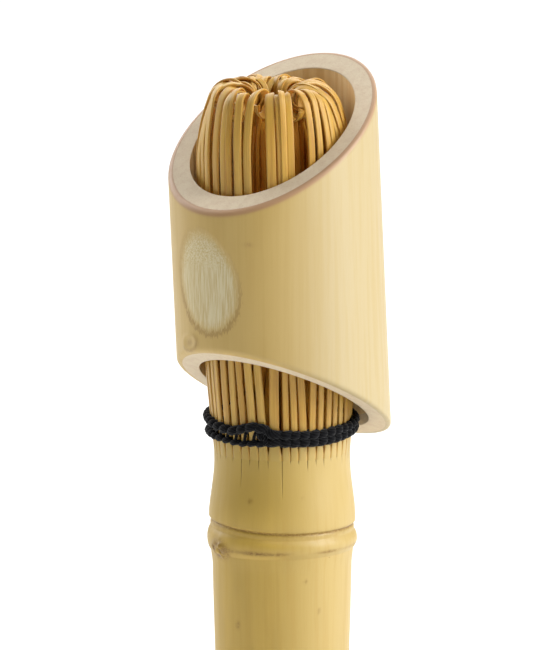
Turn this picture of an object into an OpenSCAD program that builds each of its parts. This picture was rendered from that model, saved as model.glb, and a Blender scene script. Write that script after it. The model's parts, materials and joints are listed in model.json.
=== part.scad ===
// Bamboo tea whisk in an open bamboo sleeve.
// One culm, split above its node into sixteen sections: the outer skin of each section is cut into
// tines that curl over at the top, and its inner wood into thinner tines gathered in the middle.
// A black thread is woven round the roots of the tines. The sleeve is a loose tube round the tines,
// cut obliquely at both ends. Millimetres, +Z up, origin at the centre of the handle's foot.

/* [Handle] */
// Diameter of the culm at its foot
foot_d = 23; // [20:0.5:28]
// Height of the node ring above the foot
node_z = 38.5; // [32:0.5:60]
// Diameter of the culm just below the node ring
shank_d = 24; // [21:0.1:28]
// How far the node ring stands out from the culm
ring_swell = 0.95; // [0.4:0.05:2]
// Height of the rounded node ring
ring_h = 3.6; // [2:0.1:4.2]
// Height from the node ring up to the lip over the sheath scar
lip_rise = 4; // [3.6:0.1:6]
// Depth of the scar's groove under the lip
scar_depth = 0.35; // [0.1:0.05:0.6]
// How far the lip stands out from the culm
lip_swell = 0.45; // [0:0.05:1]
// Diameter of the neck, where the tines begin
neck_d = 23.4; // [20:0.1:28]
// Height of the neck above the node ring
neck_h = 15.4; // [12:0.1:30]
// Thickness of the culm's wall at the neck
neck_wall = 2.4; // [2.2:0.1:3.5]
// Diameter of the round hole in the foot
foot_bore_d = 13; // [6:0.5:15]
// Thickness of the partition inside the node
septum_t = 3.5; // [2:0.1:6]
// Bevel round the edge of the foot
foot_bevel = 0.5; // [0.2:0.1:1.5]

/* [Outer tines] */
// Number of sections that the culm is split into
section_count = 16; // [12:1:18]
// Number of tines cut from the skin of each section
tines_per_section = 3; // [2:1:3]
// Overall height of the whisk above the foot
whisk_h = 118.3; // [105:0.5:145]
// Largest diameter across the outer tines
cage_d = 27.4; // [22:0.1:33]
// Thickness of an outer tine
tine_t = 0.6; // [0.4:0.05:0.75]
// Width of the slit between two outer tines at the neck
slit_w = 0.3; // [0.15:0.05:0.5]
// Gap between two outer tines where their curls come closest
curl_gap = 0.08; // [0.04:0.01:0.15]
// Radius of the long bend of the shoulder
shoulder_r = 30; // [24:1:36]
// Angle that the shoulder leans inwards before the crown
shoulder_angle = 21; // [17:1:25]
// Radius of the crown
crown_r = 5; // [4:0.1:6]
// Radius of the curl at the tip
curl_r = 2.4; // [1.9:0.1:2.9]
// Angle that the curl turns through
curl_angle = 225; // [180:5:265]
// Lean of the tines from the culm's axis, to the left
cage_lean = 1.6; // [0:0.1:2]

/* [Inner tines] */
// Thickness of an inner tine
inner_t = 0.5; // [0.3:0.05:0.6]
// Gap between two inner tines in the bundle
inner_gap = 0.1; // [0.05:0.01:0.2]
// Diameter across the bundle of inner tines
bundle_d = 10.6; // [8:0.1:13]
// Height over which the inner tines draw together
gather_h = 16; // [12:1:24]
// Clearance from the tips of the inner tines up to the curls
inner_tip_gap = 1.2; // [0.5:0.1:4]

/* [Thread] */
// Diameter of the woven thread
thread_d = 1.1; // [0.8:0.05:1.35]
// Height of the lower row of thread above the neck
thread_low = 3.3; // [2:0.1:6]
// Distance from the lower row up to the upper row
row_pitch = 2.3; // [1.7:0.1:4]
// How far the culm flares from the neck to the thread
thread_flare = 0.15; // [0:0.05:0.3]
// Diameter of the knot that joins the two rows
knot_d = 1.9; // [1.4:0.1:2.2]
// Place of the knot round the culm, from +X towards +Y
knot_turn = 256; // [0:1:360]

/* [Sleeve] */
// Gap between the sleeve's bore and what it passes over
sleeve_gap = 0.6; // [0.5:0.05:1.5]
// Thickness of the sleeve's wall
sleeve_wall = 3.8; // [2.5:0.1:5]
// Length of the sleeve along its axis
sleeve_len = 45.4; // [36:0.2:56]
// Height of the sleeve's lower cut above the neck, on its axis
sleeve_low = 9.8; // [8:0.1:16]
// Slope of the upper cut
top_cut_angle = 33; // [0:0.5:38]
// Side on which the upper cut is highest, from +X towards +Y
top_cut_turn = 56; // [0:1:360]
// Slope of the lower cut
low_cut_angle = 28.7; // [0:0.1:35]
// Side on which the lower cut is lowest, from +X towards +Y
low_cut_turn = 50; // [0:1:360]
// Lean of the sleeve from the culm's axis, to the left
sleeve_lean = 2.5; // [0:0.1:2.6]
// Height above the neck at which the sleeve's axis crosses the culm's axis
sleeve_cross = 17.6; // [10:0.1:25]

/* [Hidden] */
$fn = 96;
SKIN = "#d9b777";
TINE = "#c69a4f";
FLESH = "#9a7038";
THREAD = "#1d1b1f";
SLEEVE = "#e3c894";

neck_z = node_z + neck_h;
neck_r = neck_d / 2;
shank_r = shank_d / 2;
lip_r = shank_r + lip_swell;
lip_z = node_z + lip_rise;
cavity_r = neck_r - neck_wall;
tine_count = section_count * tines_per_section;
half_pitch = 180 / tine_count;

// Radii of the outer tine's middle line: at the neck, under the thread and at its widest
seat_r = neck_r + thread_flare - tine_t / 2;
root_r = neck_r - 0.05 - tine_t / 2;
belly_r = cage_d / 2 - tine_t / 2;
// Heights of the thread's seat, where the tines stand upright
seat_low = neck_z + thread_low - thread_d;
seat_top = neck_z + thread_low + row_pitch + thread_d;

// The crown and the curl share their highest point
crown_z = whisk_h - tine_t / 2 - crown_r;
crown_x = belly_r - shoulder_r * (1 - cos(shoulder_angle)) - crown_r * cos(shoulder_angle);
shoulder_z = crown_z + (crown_r - shoulder_r) * sin(shoulder_angle);
curl_z = crown_z + crown_r - curl_r;
curl_low = curl_z - curl_r - tine_t / 2;
curl_inner_r = crown_x - curl_r - tine_t / 2;

// Widths of an outer tine: the splits leave these between neighbours
root_w = pitch_at(root_r - tine_t / 2) - slit_w;
curl_w = pitch_at(curl_inner_r) - curl_gap;

// Thread: two rows outside the tines, one turn between outer and inner tines
seat_corner_r = norm([seat_r + tine_t / 2, root_w / 2]);
row_r = seat_corner_r + thread_d / 2;
low_row_z = neck_z + thread_low;
top_row_z = low_row_z + row_pitch;
inner_turn_z = (low_row_z + top_row_z) / 2;
inner_turn_r = seat_r - tine_t / 2 - thread_d / 2;

// Inner tines stand inside the inner turn of thread and draw together above it
inner_tip_z = curl_low - inner_tip_gap;
bundle_r = bundle_d / 2 - inner_t / 2;
inner_w = pitch_at(bundle_r - inner_t / 2) - inner_gap;
inner_root_r = inner_turn_r - thread_d / 2 - inner_t / 2 - 0.02;

// The sleeve passes over the widest tines and over the thread, which leans away from its axis
thread_reach = row_r + thread_d / 2 + (sleeve_cross - thread_low) * tan(sleeve_lean)
    + thread_low * tan(cage_lean);
bore_r = max(cage_d / 2, thread_reach) + sleeve_gap;
sleeve_r = bore_r + sleeve_wall;
far = 200;

function pitch_at(r) = 2 * r * tan(half_pitch);
function two_digits(i) = i < 10 ? str("0", i) : str(i);
function arc(centre, r, from, to, steps) =
    [for (i = [0:steps]) let (a = from + (to - from) * i / steps) centre + r * [cos(a), sin(a)]];
// Part of an upright oval, a wide and b high from its centre
function arc_oval(centre, a, b, from, to, steps) =
    [for (i = [0:steps]) let (t = from + (to - from) * i / steps) centre + [a * cos(t), b * sin(t)]];
function normal(path, i) =
    let (d = path[min(i + 1, len(path) - 1)] - path[max(i - 1, 0)]) [-d[1], d[0]] / norm(d);
// Outline of a strip of thickness t along a path
function strip(path, t) = concat(
    [for (i = [0:len(path) - 1]) path[i] + t / 2 * normal(path, i)],
    [for (i = [len(path) - 1:-1:0]) path[i] - t / 2 * normal(path, i)]);

OUTER_NODES = [for (i = [1:section_count]) str("outer_tines_", two_digits(i))];
INNER_NODES = [for (i = [1:section_count]) str("inner_tines_", two_digits(i))];

// Side view of an outer tine, radius across and height up
outer_path = concat(
    [[root_r, neck_z - 2], [root_r, neck_z], [seat_r, seat_low], [seat_r, seat_top]],
    [for (s = [0.25, 0.5, 0.75])
        [seat_r + (belly_r - seat_r) * sin(90 * s), seat_top + (shoulder_z - seat_top) * s * s]],
    arc([belly_r - shoulder_r, shoulder_z], shoulder_r, 0, shoulder_angle, 4),
    arc([crown_x, crown_z], crown_r, shoulder_angle + 17, 90, 4),
    arc([crown_x, curl_z], curl_r, 112, 90 + curl_angle, 10));

inner_path = concat(
    [[inner_root_r, neck_z - 2], [inner_root_r, seat_top]],
    [for (s = [0.15, 0.35, 0.65, 1]) [bundle_r + (inner_root_r - bundle_r) * (1 + cos(180 * s)) / 2,
        seat_top + gather_h * s]],
    [[bundle_r, inner_tip_z]]);

// A strip bent along a path in the upright plane through +X, as wide as its front outline
module tine(path, t, outline) {
    intersection() {
        rotate([90, 0, 0])
            linear_extrude(4, center = true)
                polygon(strip(path, t));
        rotate([90, 0, 90])
            linear_extrude(2 * cage_d)
                polygon(outline);
    }
}

// Front outline of a tine: full width to the shoulder height, then narrower to the tip height
module outer_tine() {
    tine(outer_path, tine_t, [
        [-root_w / 2, neck_z - 3], [root_w / 2, neck_z - 3], [root_w / 2, shoulder_z],
        [curl_w / 2, curl_low - 0.5], [curl_w / 2, whisk_h + 1],
        [-curl_w / 2, whisk_h + 1], [-curl_w / 2, curl_low - 0.5], [-root_w / 2, shoulder_z]]);
}

module inner_tine() {
    tine(inner_path, inner_t, [
        [-inner_w / 2, neck_z - 3], [inner_w / 2, neck_z - 3],
        [inner_w / 2, whisk_h], [-inner_w / 2, whisk_h]]);
}

// Everything above the neck leans from the middle of the neck
module leaning_cage() {
    translate([0, 0, neck_z])
        rotate([0, -cage_lean, 0])
            translate([0, 0, -neck_z])
                children();
}

// The tines of one section, standing on the culm's flat top
module section_of_tines(section) {
    difference() {
        leaning_cage()
            for (k = [0:tines_per_section - 1])
                rotate((section * tines_per_section + k + 0.5) * 2 * half_pitch)
                    children();
        translate([-far / 2, -far / 2, neck_z - far])
            cube(far);
    }
}

module outer_tines(section) {
    color(TINE)
        section_of_tines(section) outer_tine();
}

module inner_tines(section) {
    color(FLESH)
        section_of_tines(section) inner_tine();
}

// The culm's outline from the axis at the foot up to the axis at the neck
handle_outline = concat(
    [[0, 0], [foot_d / 2 - foot_bevel, 0], [foot_d / 2, foot_bevel], [foot_d / 2, node_z * 0.5],
        [shank_r - (shank_d - foot_d) / 4, node_z * 0.8], [shank_r, node_z - ring_h / 2 - 0.4]],
    arc_oval([shank_r, node_z], ring_swell, ring_h / 2, -80, 80, 8),
    [[lip_r - scar_depth, lip_z - 1.4], [lip_r - scar_depth, lip_z - 1], [lip_r, lip_z - 0.6],
        [lip_r, lip_z + 0.2], [lip_r + (neck_r - lip_r) * 0.5, lip_z + (neck_z - lip_z) * 0.3],
        [lip_r + (neck_r - lip_r) * 0.85, lip_z + (neck_z - lip_z) * 0.6],
        [neck_r, lip_z + (neck_z - lip_z) * 0.85], [neck_r, neck_z], [0, neck_z]]);

module handle() {
    color(SKIN)
        difference() {
            rotate_extrude()
                polygon(handle_outline);
            translate([0, 0, -1])
                cylinder(r = foot_bore_d / 2, h = 1 + node_z - septum_t / 2);
            translate([0, 0, node_z + septum_t / 2])
                cylinder(r = cavity_r, h = neck_h);
        }
}

module thread_turn(r, z) {
    leaning_cage()
        translate([0, 0, z])
            rotate_extrude()
                translate([r, 0])
                    circle(thread_d / 2, $fn = 32);
}

module thread_low_row() {
    color(THREAD)
        thread_turn(row_r, low_row_z);
}

module thread_top_row() {
    color(THREAD)
        thread_turn(row_r, top_row_z);
}

module thread_inner_turn() {
    color(THREAD)
        thread_turn(inner_turn_r, inner_turn_z);
}

// The knot lies on the tines between the two rows and touches both
module thread_knot() {
    color(THREAD)
        difference() {
            leaning_cage()
                rotate(knot_turn)
                    translate([row_r, 0, inner_turn_z])
                        sphere(d = knot_d);
            thread_turn(row_r, low_row_z);
            thread_turn(row_r, top_row_z);
            leaning_cage()
                translate([0, 0, neck_z])
                    cylinder(r = seat_corner_r, h = 2 * thread_low + row_pitch);
        }
}

// A half-space beyond a plane through z on the axis, which rises towards turn
module cut_above(z, slope, turn) {
    translate([0, 0, z])
        rotate(turn)
            rotate([0, -slope, 0])
                translate([-far / 2, -far / 2, 0])
                    cube(far);
}

module cut_below(z, slope, turn) {
    translate([0, 0, z])
        rotate(turn)
            rotate([0, slope, 0])
                translate([-far / 2, -far / 2, -far])
                    cube(far);
}

module sleeve() {
    cross_z = neck_z + sleeve_cross;
    low_z = neck_z + sleeve_low;
    color(SLEEVE)
        translate([0, 0, cross_z])
            rotate([0, -sleeve_lean, 0])
                translate([0, 0, -cross_z])
                    difference() {
                        translate([0, 0, low_z - sleeve_len / 2])
                            cylinder(r = sleeve_r, h = 2 * sleeve_len);
                        translate([0, 0, low_z - sleeve_len])
                            cylinder(r = bore_r, h = 3 * sleeve_len);
                        cut_below(low_z, low_cut_angle, low_cut_turn);
                        cut_above(low_z + sleeve_len, top_cut_angle, top_cut_turn);
                    }
}

handle();
for (i = [0:section_count - 1]) {
    outer_tines(i);
    inner_tines(i);
}
thread_low_row();
thread_top_row();
thread_inner_turn();
thread_knot();
sleeve();
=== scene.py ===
"""Bamboo tea whisk standing in its open bamboo sleeve.

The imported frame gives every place: the handle's radii, the lean of the tines, the thread's height and the
sleeve's axis and cuts are read from its nodes. The finished pieces are built round it, in metres, +Z up.
"""

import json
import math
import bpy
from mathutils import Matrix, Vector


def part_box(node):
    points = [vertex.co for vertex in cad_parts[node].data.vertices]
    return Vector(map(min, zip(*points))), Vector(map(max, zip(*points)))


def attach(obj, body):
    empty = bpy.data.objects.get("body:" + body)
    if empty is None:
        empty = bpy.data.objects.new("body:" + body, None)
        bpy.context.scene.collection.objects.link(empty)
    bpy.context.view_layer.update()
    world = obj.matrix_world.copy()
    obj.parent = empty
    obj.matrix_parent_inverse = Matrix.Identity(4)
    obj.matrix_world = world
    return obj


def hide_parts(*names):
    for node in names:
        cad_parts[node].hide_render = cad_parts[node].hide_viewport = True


bl_info = {
    "name": "Bamboo Tea Whisk",
    "version": (1, 0, 0),
    "blender": (4, 5, 0),
    "location": "3D View > Sidebar > Tea Whisk",
    "description": "Builds a bamboo tea whisk, its woven thread and its sleeve around a packed frame",
    "category": "Add Mesh",
}

import bpy
import numpy as np
from mathutils import Vector

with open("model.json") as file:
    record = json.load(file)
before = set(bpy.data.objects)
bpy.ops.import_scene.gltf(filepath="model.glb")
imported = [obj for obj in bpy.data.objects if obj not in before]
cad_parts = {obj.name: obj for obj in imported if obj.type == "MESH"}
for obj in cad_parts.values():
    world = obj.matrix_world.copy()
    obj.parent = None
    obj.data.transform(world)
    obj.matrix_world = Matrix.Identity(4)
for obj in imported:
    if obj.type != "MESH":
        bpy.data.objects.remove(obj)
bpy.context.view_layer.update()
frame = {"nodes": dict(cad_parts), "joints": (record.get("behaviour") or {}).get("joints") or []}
MM = 0.001
WHISK, SLEEVE = "whisk", "sleeve"
OUTER_NODES = sorted(name for name in frame["nodes"] if name.startswith("outer_tines"))
INNER_NODES = sorted(name for name in frame["nodes"] if name.startswith("inner_tines"))
PER_SECTION = 3
COUNT = PER_SECTION * len(OUTER_NODES)
PITCH = 2 * math.pi / COUNT
FRONT = -math.pi / 2
# Where hand splitting left the tines wider and narrower: places round an even culm, in degrees from the
# front, and how far each has moved
SPLIT_SHIFT = ((-180, 0), (-110, -10), (-52, -12), (-30, -6.4), (-7.5, -4.4), (0, 0), (15, -1.1), (60, 1),
               (90, 0))
# The same for the heads of the tines, which lean on each other in groups
HEAD_SHIFT = ((-180, 1), (-150, -3), (-143, 4), (-120, 0), (-102, -3), (-96, 3), (-70, -3), (-55, 0.5),
              (-40, 0), (-32, -3.5), (-15, -4), (-6, 3.8), (3, 1), (10, -2.5), (18, -5.3), (25.5, 2.3), (34, 4),
              (57, 3.7), (75, -1), (83, 3), (110, -3), (118, 4), (150, 2), (156, -4))
# The face kinds of the sleeve, in the order of its materials
SKIN_FACE, CUT_FACE, BORE_FACE = 0, 1, 2


# --- Reading the frame ---------------------------------------------------------------------------


def node_points(name):
    """All vertices of a CAD node, one row each."""
    vertices = frame["nodes"][name].data.vertices
    points = np.empty(len(vertices) * 3)
    vertices.foreach_get("co", points)
    return points.reshape(-1, 3)


def fit_plane(points):
    """Height on the axis and the two slopes of the plane z = a + b x + c y nearest to the points."""
    sides = np.column_stack([np.ones(len(points)), points[:, 0], points[:, 1]])
    return np.linalg.lstsq(sides, points[:, 2], rcond=None)[0]


def read_handle():
    """Radii and heights of the culm, from the corners of its outline."""
    points = node_points("handle")
    radius = np.hypot(points[:, 0], points[:, 1])
    height = points[:, 2]
    top = height.max()
    low = height < 0.8 * MM
    rim = height > top - 0.1 * MM
    inside = (radius > 1 * MM) & (radius < radius[low].max() * 0.9)
    return {
        "foot_r": radius[low].max(),
        "bore_r": radius[low & (radius > 1 * MM)].min(),
        "bore_top": height[inside & (height < 0.72 * top)].max(),
        "ring_r": radius.max(),
        "ring_z": height[radius.argmax()],
        "neck_r": radius[rim].max(),
        "cavity_r": radius[rim].min(),
        "cavity_low": height[inside & (height > 0.72 * top)].min(),
        "neck_z": top,
    }


def read_sleeve():
    """The sleeve's three directions, centre line, radii and cuts. Each cut is a plane in those directions."""
    axis = np.array(frame["joints"][0]["axis"], float)
    axis /= np.linalg.norm(axis)
    across = np.cross((0, 1, 0), axis)
    across /= np.linalg.norm(across)
    turn = np.array([across, np.cross(axis, across), axis])
    points = node_points("sleeve") @ turn.T
    centre = (points.min(0) + points.max(0)) / 2
    points[:, :2] -= centre[:2]
    radius = np.hypot(points[:, 0], points[:, 1])
    upper = points[:, 2] > centre[2]
    return {
        "turn": turn,
        "offset": np.array([centre[0], centre[1], 0.0]),
        "bore_r": radius.min(),
        "outer_r": radius.max(),
        "top_cut": fit_plane(points[upper]),
        "low_cut": fit_plane(points[~upper]),
    }


CULM = read_handle()
TUBE = read_sleeve()
LOW_ROW = fit_plane(node_points("thread_low_row"))
TOP_ROW = fit_plane(node_points("thread_top_row"))
CAGE_TOP = max(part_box(name)[1].z for name in OUTER_NODES)
CAGE_R = max(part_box(name)[1].y for name in OUTER_NODES)


# --- Shapes --------------------------------------------------------------------------------------


def ease(value, start, end):
    """0 before start, 1 after end and 3 t^2 - 2 t^3 between."""
    t = np.clip((value - start) / (end - start), 0, 1)
    return t * t * (3 - 2 * t)


def turned(angle, centre):
    """The angle from centre, wrapped to -pi .. pi."""
    return (angle - centre + np.pi) % (2 * np.pi) - np.pi


def moved(angle, stops):
    """The angle with its shift added: straight between the stops, which are in degrees from the front."""
    places, shifts = np.array(stops, float).T
    return angle + np.radians(np.interp(np.degrees(turned(angle, FRONT)), places, shifts, period=360))


def bell(value, centre, width):
    """exp(-((value - centre) / width)^2)."""
    return np.exp(-(((value - centre) / width) ** 2))


def ripple(angle, height, rng, orders=5, reach=0.02):
    """A smooth uneven surface: the sum of waves cos(n angle + m height / reach + phase) / n, near -1 .. 1."""
    total = np.zeros(np.broadcast(angle, height).shape)
    for n in range(1, orders + 1):
        phase, climb = rng.uniform(0, 2 * np.pi), rng.uniform(-1.5, 1.5)
        total = total + np.cos(n * angle + climb * height / reach + phase) / n
    return total / 2


def superellipse(count, power):
    """Outline (cos, sin) of a turn, drawn towards a square by raising each to 2 / power with its sign
    kept."""
    turn = (np.arange(count) + 0.5) * 2 * np.pi / count
    c, s = np.cos(turn), np.sin(turn)
    return np.stack([np.sign(c) * abs(c) ** (2 / power), np.sign(s) * abs(s) ** (2 / power)], -1)


def around(angle, radius, sideways, height):
    """Points at a radius, moved sideways along the circle's tangent."""
    c, s = np.cos(angle), np.sin(angle)
    x, y = radius * c - sideways * s, radius * s + sideways * c
    return np.stack([x, y, height + 0 * x], -1)


def unit(vectors):
    """Vectors scaled to length 1."""
    return vectors / np.linalg.norm(vectors, axis=-1, keepdims=True)


def sweep(path, facing, half_width, half_depth, outline):
    """Outline carried along paths: path + width_dir * x * half_width + depth_dir * y * half_depth.
    depth_dir is facing made square to the path, width_dir is square to both."""
    along = unit(np.gradient(path, axis=-2))
    depth = unit(facing - along * np.sum(facing * along, -1, keepdims=True))
    width = np.cross(depth, along)
    x = (half_width[..., None] * outline[:, 0])[..., None]
    y = (half_depth[..., None] * outline[:, 1])[..., None]
    return path[..., None, :] + width[..., None, :] * x + depth[..., None, :] * y


def running_length(path):
    """Distance along each path from its start."""
    steps = np.linalg.norm(np.diff(path, axis=-2), axis=-1)
    start = np.zeros(steps.shape[:-1] + (1,))
    return np.concatenate([start, np.cumsum(steps, -1)], -1)


def strip_uv(path, outline, half_width):
    """UV of swept strips: how far round the outline, and how far along the path, in metres."""
    closed = np.vstack([outline, outline[:1]])
    round_ = running_length(closed[None])[0] * half_width
    v = running_length(path)[..., None]
    return np.stack(np.broadcast_arrays(round_, v), -1)


def build(name, points, uv=None, closed=False, column_material=None, sharp=50, **values):
    """Mesh object from grids of points shaped (pieces, rows, columns, 3). Columns go all the way round, and
    so do rows when closed; otherwise the first and last row are capped. uv is shaped like the grid with its
    wrapped row and column added, values are attributes shaped like the grid."""
    pieces, rows, columns = points.shape[:3]
    i = np.arange(rows if closed else rows - 1)[:, None]
    j = np.arange(columns)[None, :]
    over, right = (i + 1) % rows, (j + 1) % columns
    quad = np.stack([i * columns + j, i * columns + right, over * columns + right, over * columns + j], -1)
    shift = (np.arange(pieces) * rows * columns)[:, None, None, None]
    quads = (quad[None] + shift).reshape(-1, 4)
    loops = quads.reshape(-1)
    sizes = np.full(len(quads), 4)
    if not closed:
        ring = np.arange(columns)
        caps = np.stack([ring[::-1], (rows - 1) * columns + ring])[None] + shift[:, :, 0]
        loops = np.concatenate([loops, caps.reshape(-1)])
        sizes = np.concatenate([sizes, np.full(2 * pieces, columns)])
    mesh = bpy.data.meshes.new(name)
    mesh.vertices.add(pieces * rows * columns)
    mesh.vertices.foreach_set("co", points.astype(np.float32).reshape(-1))
    mesh.loops.add(len(loops))
    mesh.loops.foreach_set("vertex_index", loops.astype(np.int32))
    mesh.polygons.add(len(sizes))
    mesh.polygons.foreach_set("loop_start", (np.cumsum(sizes) - sizes).astype(np.int32))
    mesh.polygons.foreach_set("use_smooth", np.ones(len(sizes), bool))
    if column_material is not None:
        indices = np.tile(column_material, pieces * len(i))
        mesh.polygons.foreach_set("material_index", indices.astype(np.int32))
    for key, value in values.items():
        value = np.broadcast_to(value, points.shape[:3]).astype(np.float32)
        mesh.attributes.new(key, "FLOAT", "POINT").data.foreach_set("value", value.reshape(-1))
    if uv is not None:
        corners = np.stack([uv[:, i, j], uv[:, i, j + 1], uv[:, i + 1, j + 1], uv[:, i + 1, j]], 3)
        corners = corners.reshape(-1, 2)
        if not closed:
            ends = uv[:, [0, -1], :columns]
            ends[:, 0] = ends[:, 0, ::-1]
            corners = np.concatenate([corners, ends.reshape(-1, 2)])
        layer = mesh.uv_layers.new(name="UVMap")
        layer.data.foreach_set("uv", corners.astype(np.float32).reshape(-1))
    mesh.update(calc_edges=True)
    mesh.validate()
    mesh.set_sharp_from_angle(angle=math.radians(sharp))
    made = bpy.data.objects.new(name, mesh)
    bpy.context.scene.collection.objects.link(made)
    return made


def finish_piece(piece, body, nodes, slot, *materials):
    """Gives a piece its materials, hangs it on the empty of its body and hides the nodes that it stands for."""
    for material in materials:
        piece.data.materials.append(material)
    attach(piece, body)
    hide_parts(*nodes)
    return piece


def lean(points):
    """Shifts what stands above the neck sideways by slope * h^2 / (h + 3 mm), which is the lean of the
    thread's rows with a soft start at the neck."""
    height = np.maximum(points[..., 2] - CULM["neck_z"], 0)
    reach = height * height / (height + 3 * MM)
    leaning = points.copy()
    leaning[..., 0] -= LOW_ROW[1] * reach
    leaning[..., 1] -= LOW_ROW[2] * reach
    return leaning


# --- Materials -----------------------------------------------------------------------------------


# Inputs and output of the Mix node in its colour mode
MIX_FACTOR, MIX_BELOW, MIX_ABOVE, MIXED = 0, 6, 7, 2
SMOOTH = {"interpolation_type": "SMOOTHSTEP"}
# Where along X the painted sheen starts and where it is full: the lit right side is painted paler
PAINTED_SHEEN_SPAN = (-5 * MM, 12 * MM)


def linear(hex_colour):
    """Linear colour of an sRGB hex value: v / 12.92 up to 0.04045, then ((v + 0.055) / 1.055)^2.4."""
    parts = [int(hex_colour[i : i + 2], 16) / 255 for i in (1, 3, 5)]
    return (*(v / 12.92 if v <= 0.04045 else ((v + 0.055) / 1.055) ** 2.4 for v in parts), 1.0)


def put(tree, kind, sockets=(), out=0, **settings):
    """Adds a shader node and gives one of its outputs. sockets holds values or the outputs to link, in the
    order of the node's inputs or by name, and settings are its properties."""
    made = tree.nodes.new("ShaderNode" + kind)
    for key, value in settings.items():
        setattr(made, key, value)
    for key, value in sockets.items() if isinstance(sockets, dict) else enumerate(sockets):
        if isinstance(value, bpy.types.NodeSocket):
            tree.links.new(value, made.inputs[key])
        else:
            made.inputs[key].default_value = value
    return made.outputs[out] if made.outputs else made


def new_material(name):
    """A material and its empty node tree."""
    material = bpy.data.materials.new(name)
    material.use_nodes = True
    material.node_tree.nodes.clear()
    return material, material.node_tree


def fibres(tree, source, across, along, detail=2.0, seed=0.0):
    """Noise drawn out along the third axis: across and along are the real spacings of the fibres."""
    spread = put(tree, "Mapping", {"Vector": source, "Location": (seed, seed, seed),
                                   "Scale": (1 / across, 1 / across, 1 / along)})
    return put(tree, "TexNoise", {"Vector": spread, "Scale": 1.0, "Detail": detail})


def coated(tree, colour, *coats):
    """Lays colours over a colour, one after another. Each coat is a colour and the factors whose product is
    its strength. A factor is a number, an output, or (pattern, low, high, start, end), which carries the
    pattern from low .. high to start .. end with smooth ends, or to 0 .. 1 where they are left out."""
    for over, *factors in coats:
        strength = None
        for factor in factors:
            if isinstance(factor, tuple):
                factor = put(tree, "MapRange", factor, **SMOOTH)
            if strength is None:
                strength = factor
            else:
                strength = put(tree, "Math", (strength, factor), operation="MULTIPLY")
        colour = put(tree, "Mix", {MIX_FACTOR: strength, MIX_BELOW: colour, MIX_ABOVE: over}, out=MIXED,
                     data_type="RGBA")
    return colour


def surface(tree, colour, roughness, bump, distance, strength=1.0, **sockets):
    """Principled surface with a bump that is distance high."""
    normal = put(tree, "Bump", {"Height": bump, "Distance": distance, "Strength": strength})
    sockets = {"Base Color": colour, "Roughness": roughness, "Normal": normal, **sockets}
    put(tree, "OutputMaterial", (put(tree, "BsdfPrincipled", sockets),))


def culm_layers(tree, source, s):
    """Colour and relief shared by the culm's skin wherever it shows: a painted sheen that makes the lit right
    side paler, broad cloudy patches 7 mm wide and 30 mm long, streaks 0.9 mm wide and fine fibres 0.16 mm
    wide, all drawn out along the culm."""
    # Painted sheen: the skin is painted paler towards the lit right side, in place of the light's white sheen
    painted_sheen = (put(tree, "SeparateXYZ", (source,)), *PAINTED_SHEEN_SPAN)
    light = coated(tree, s.skin, (s.pale, painted_sheen))
    shade = coated(tree, s.shade, (s.pale, painted_sheen))
    cloud = fibres(tree, source, 7 * MM, 30 * MM, 3.0, 3.1)
    streaks = fibres(tree, source, 0.9 * MM, 45 * MM, 3.0, 1.7)
    fine = fibres(tree, source, 0.16 * MM, 9 * MM, 2.0, 5.3)
    colour = coated(tree, light,
                    (shade, (cloud, 0.35, 0.65)),
                    (s.streak, (streaks, 0.42, 0.68, 0.0, 0.2)),
                    (s.streak, (fine, 0.5, 0.72, 0.0, 0.12)))
    return colour, streaks, fine


def culm_colour(tree, source, s):
    """The culm's skin from the foot to the roots of the tines, with the olive tint above its ring."""
    colour, streaks, fine = culm_layers(tree, source, s)
    # The olive neck gets the same painted sheen towards the lit right side
    neck = coated(tree, s.neck, (s.pale, (put(tree, "SeparateXYZ", (source,)), *PAINTED_SHEEN_SPAN)))
    height = put(tree, "SeparateXYZ", (source,), out=2)
    above_ring = (height, CULM["ring_z"] + 3 * MM, CULM["ring_z"] + 9 * MM, 0.0, 0.7)
    return coated(tree, colour, (neck, above_ring)), streaks, fine


def culm_skin_material(s):
    """Scraped and polished moso bamboo skin: warm straw with olive clouds, half gloss from its silica, brown
    where the sheath scar and the foot of the ring hold dirt, and with a few dark specks."""
    material, tree = new_material("bamboo_culm_skin_polished")
    source = put(tree, "TexCoord", out="Object")
    stain, crack = (put(tree, "Attribute", out="Fac", attribute_name=name) for name in ("stain", "crack"))
    colour, streaks, fine = culm_colour(tree, source, s)
    specks = put(tree, "TexVoronoi", {"Vector": source, "Scale": 1 / (4.5 * MM)}, out="Distance")
    mottle = fibres(tree, source, 0.5 * MM, 0.35 * MM, 3.0, 8.2)
    colour = coated(tree, colour,
                    (s.stain, (specks, 0.045, 0.03, 0.0, 0.5)),
                    (s.stain, stain, (mottle, 0.3, 0.6, 0.45, 1.0)),
                    (s.crack, crack))
    shine = put(tree, "MapRange", (streaks, 0.3, 0.7, 0.42, 0.52), **SMOOTH)
    surface(tree, colour, shine, fine, 0.02 * MM, 0.5, IOR=1.5)
    return material


def tine_grain(tree, tone):
    """Where a tine's grain is read: how far round it, its own tone, and how far along it. The tone keeps any
    two tines from having the same grain."""
    uv = put(tree, "UVMap", uv_map="UVMap")
    across, along = (put(tree, "SeparateXYZ", (uv,), out=i) for i in (0, 1))
    return put(tree, "CombineXYZ", (across, tone, along))


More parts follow.
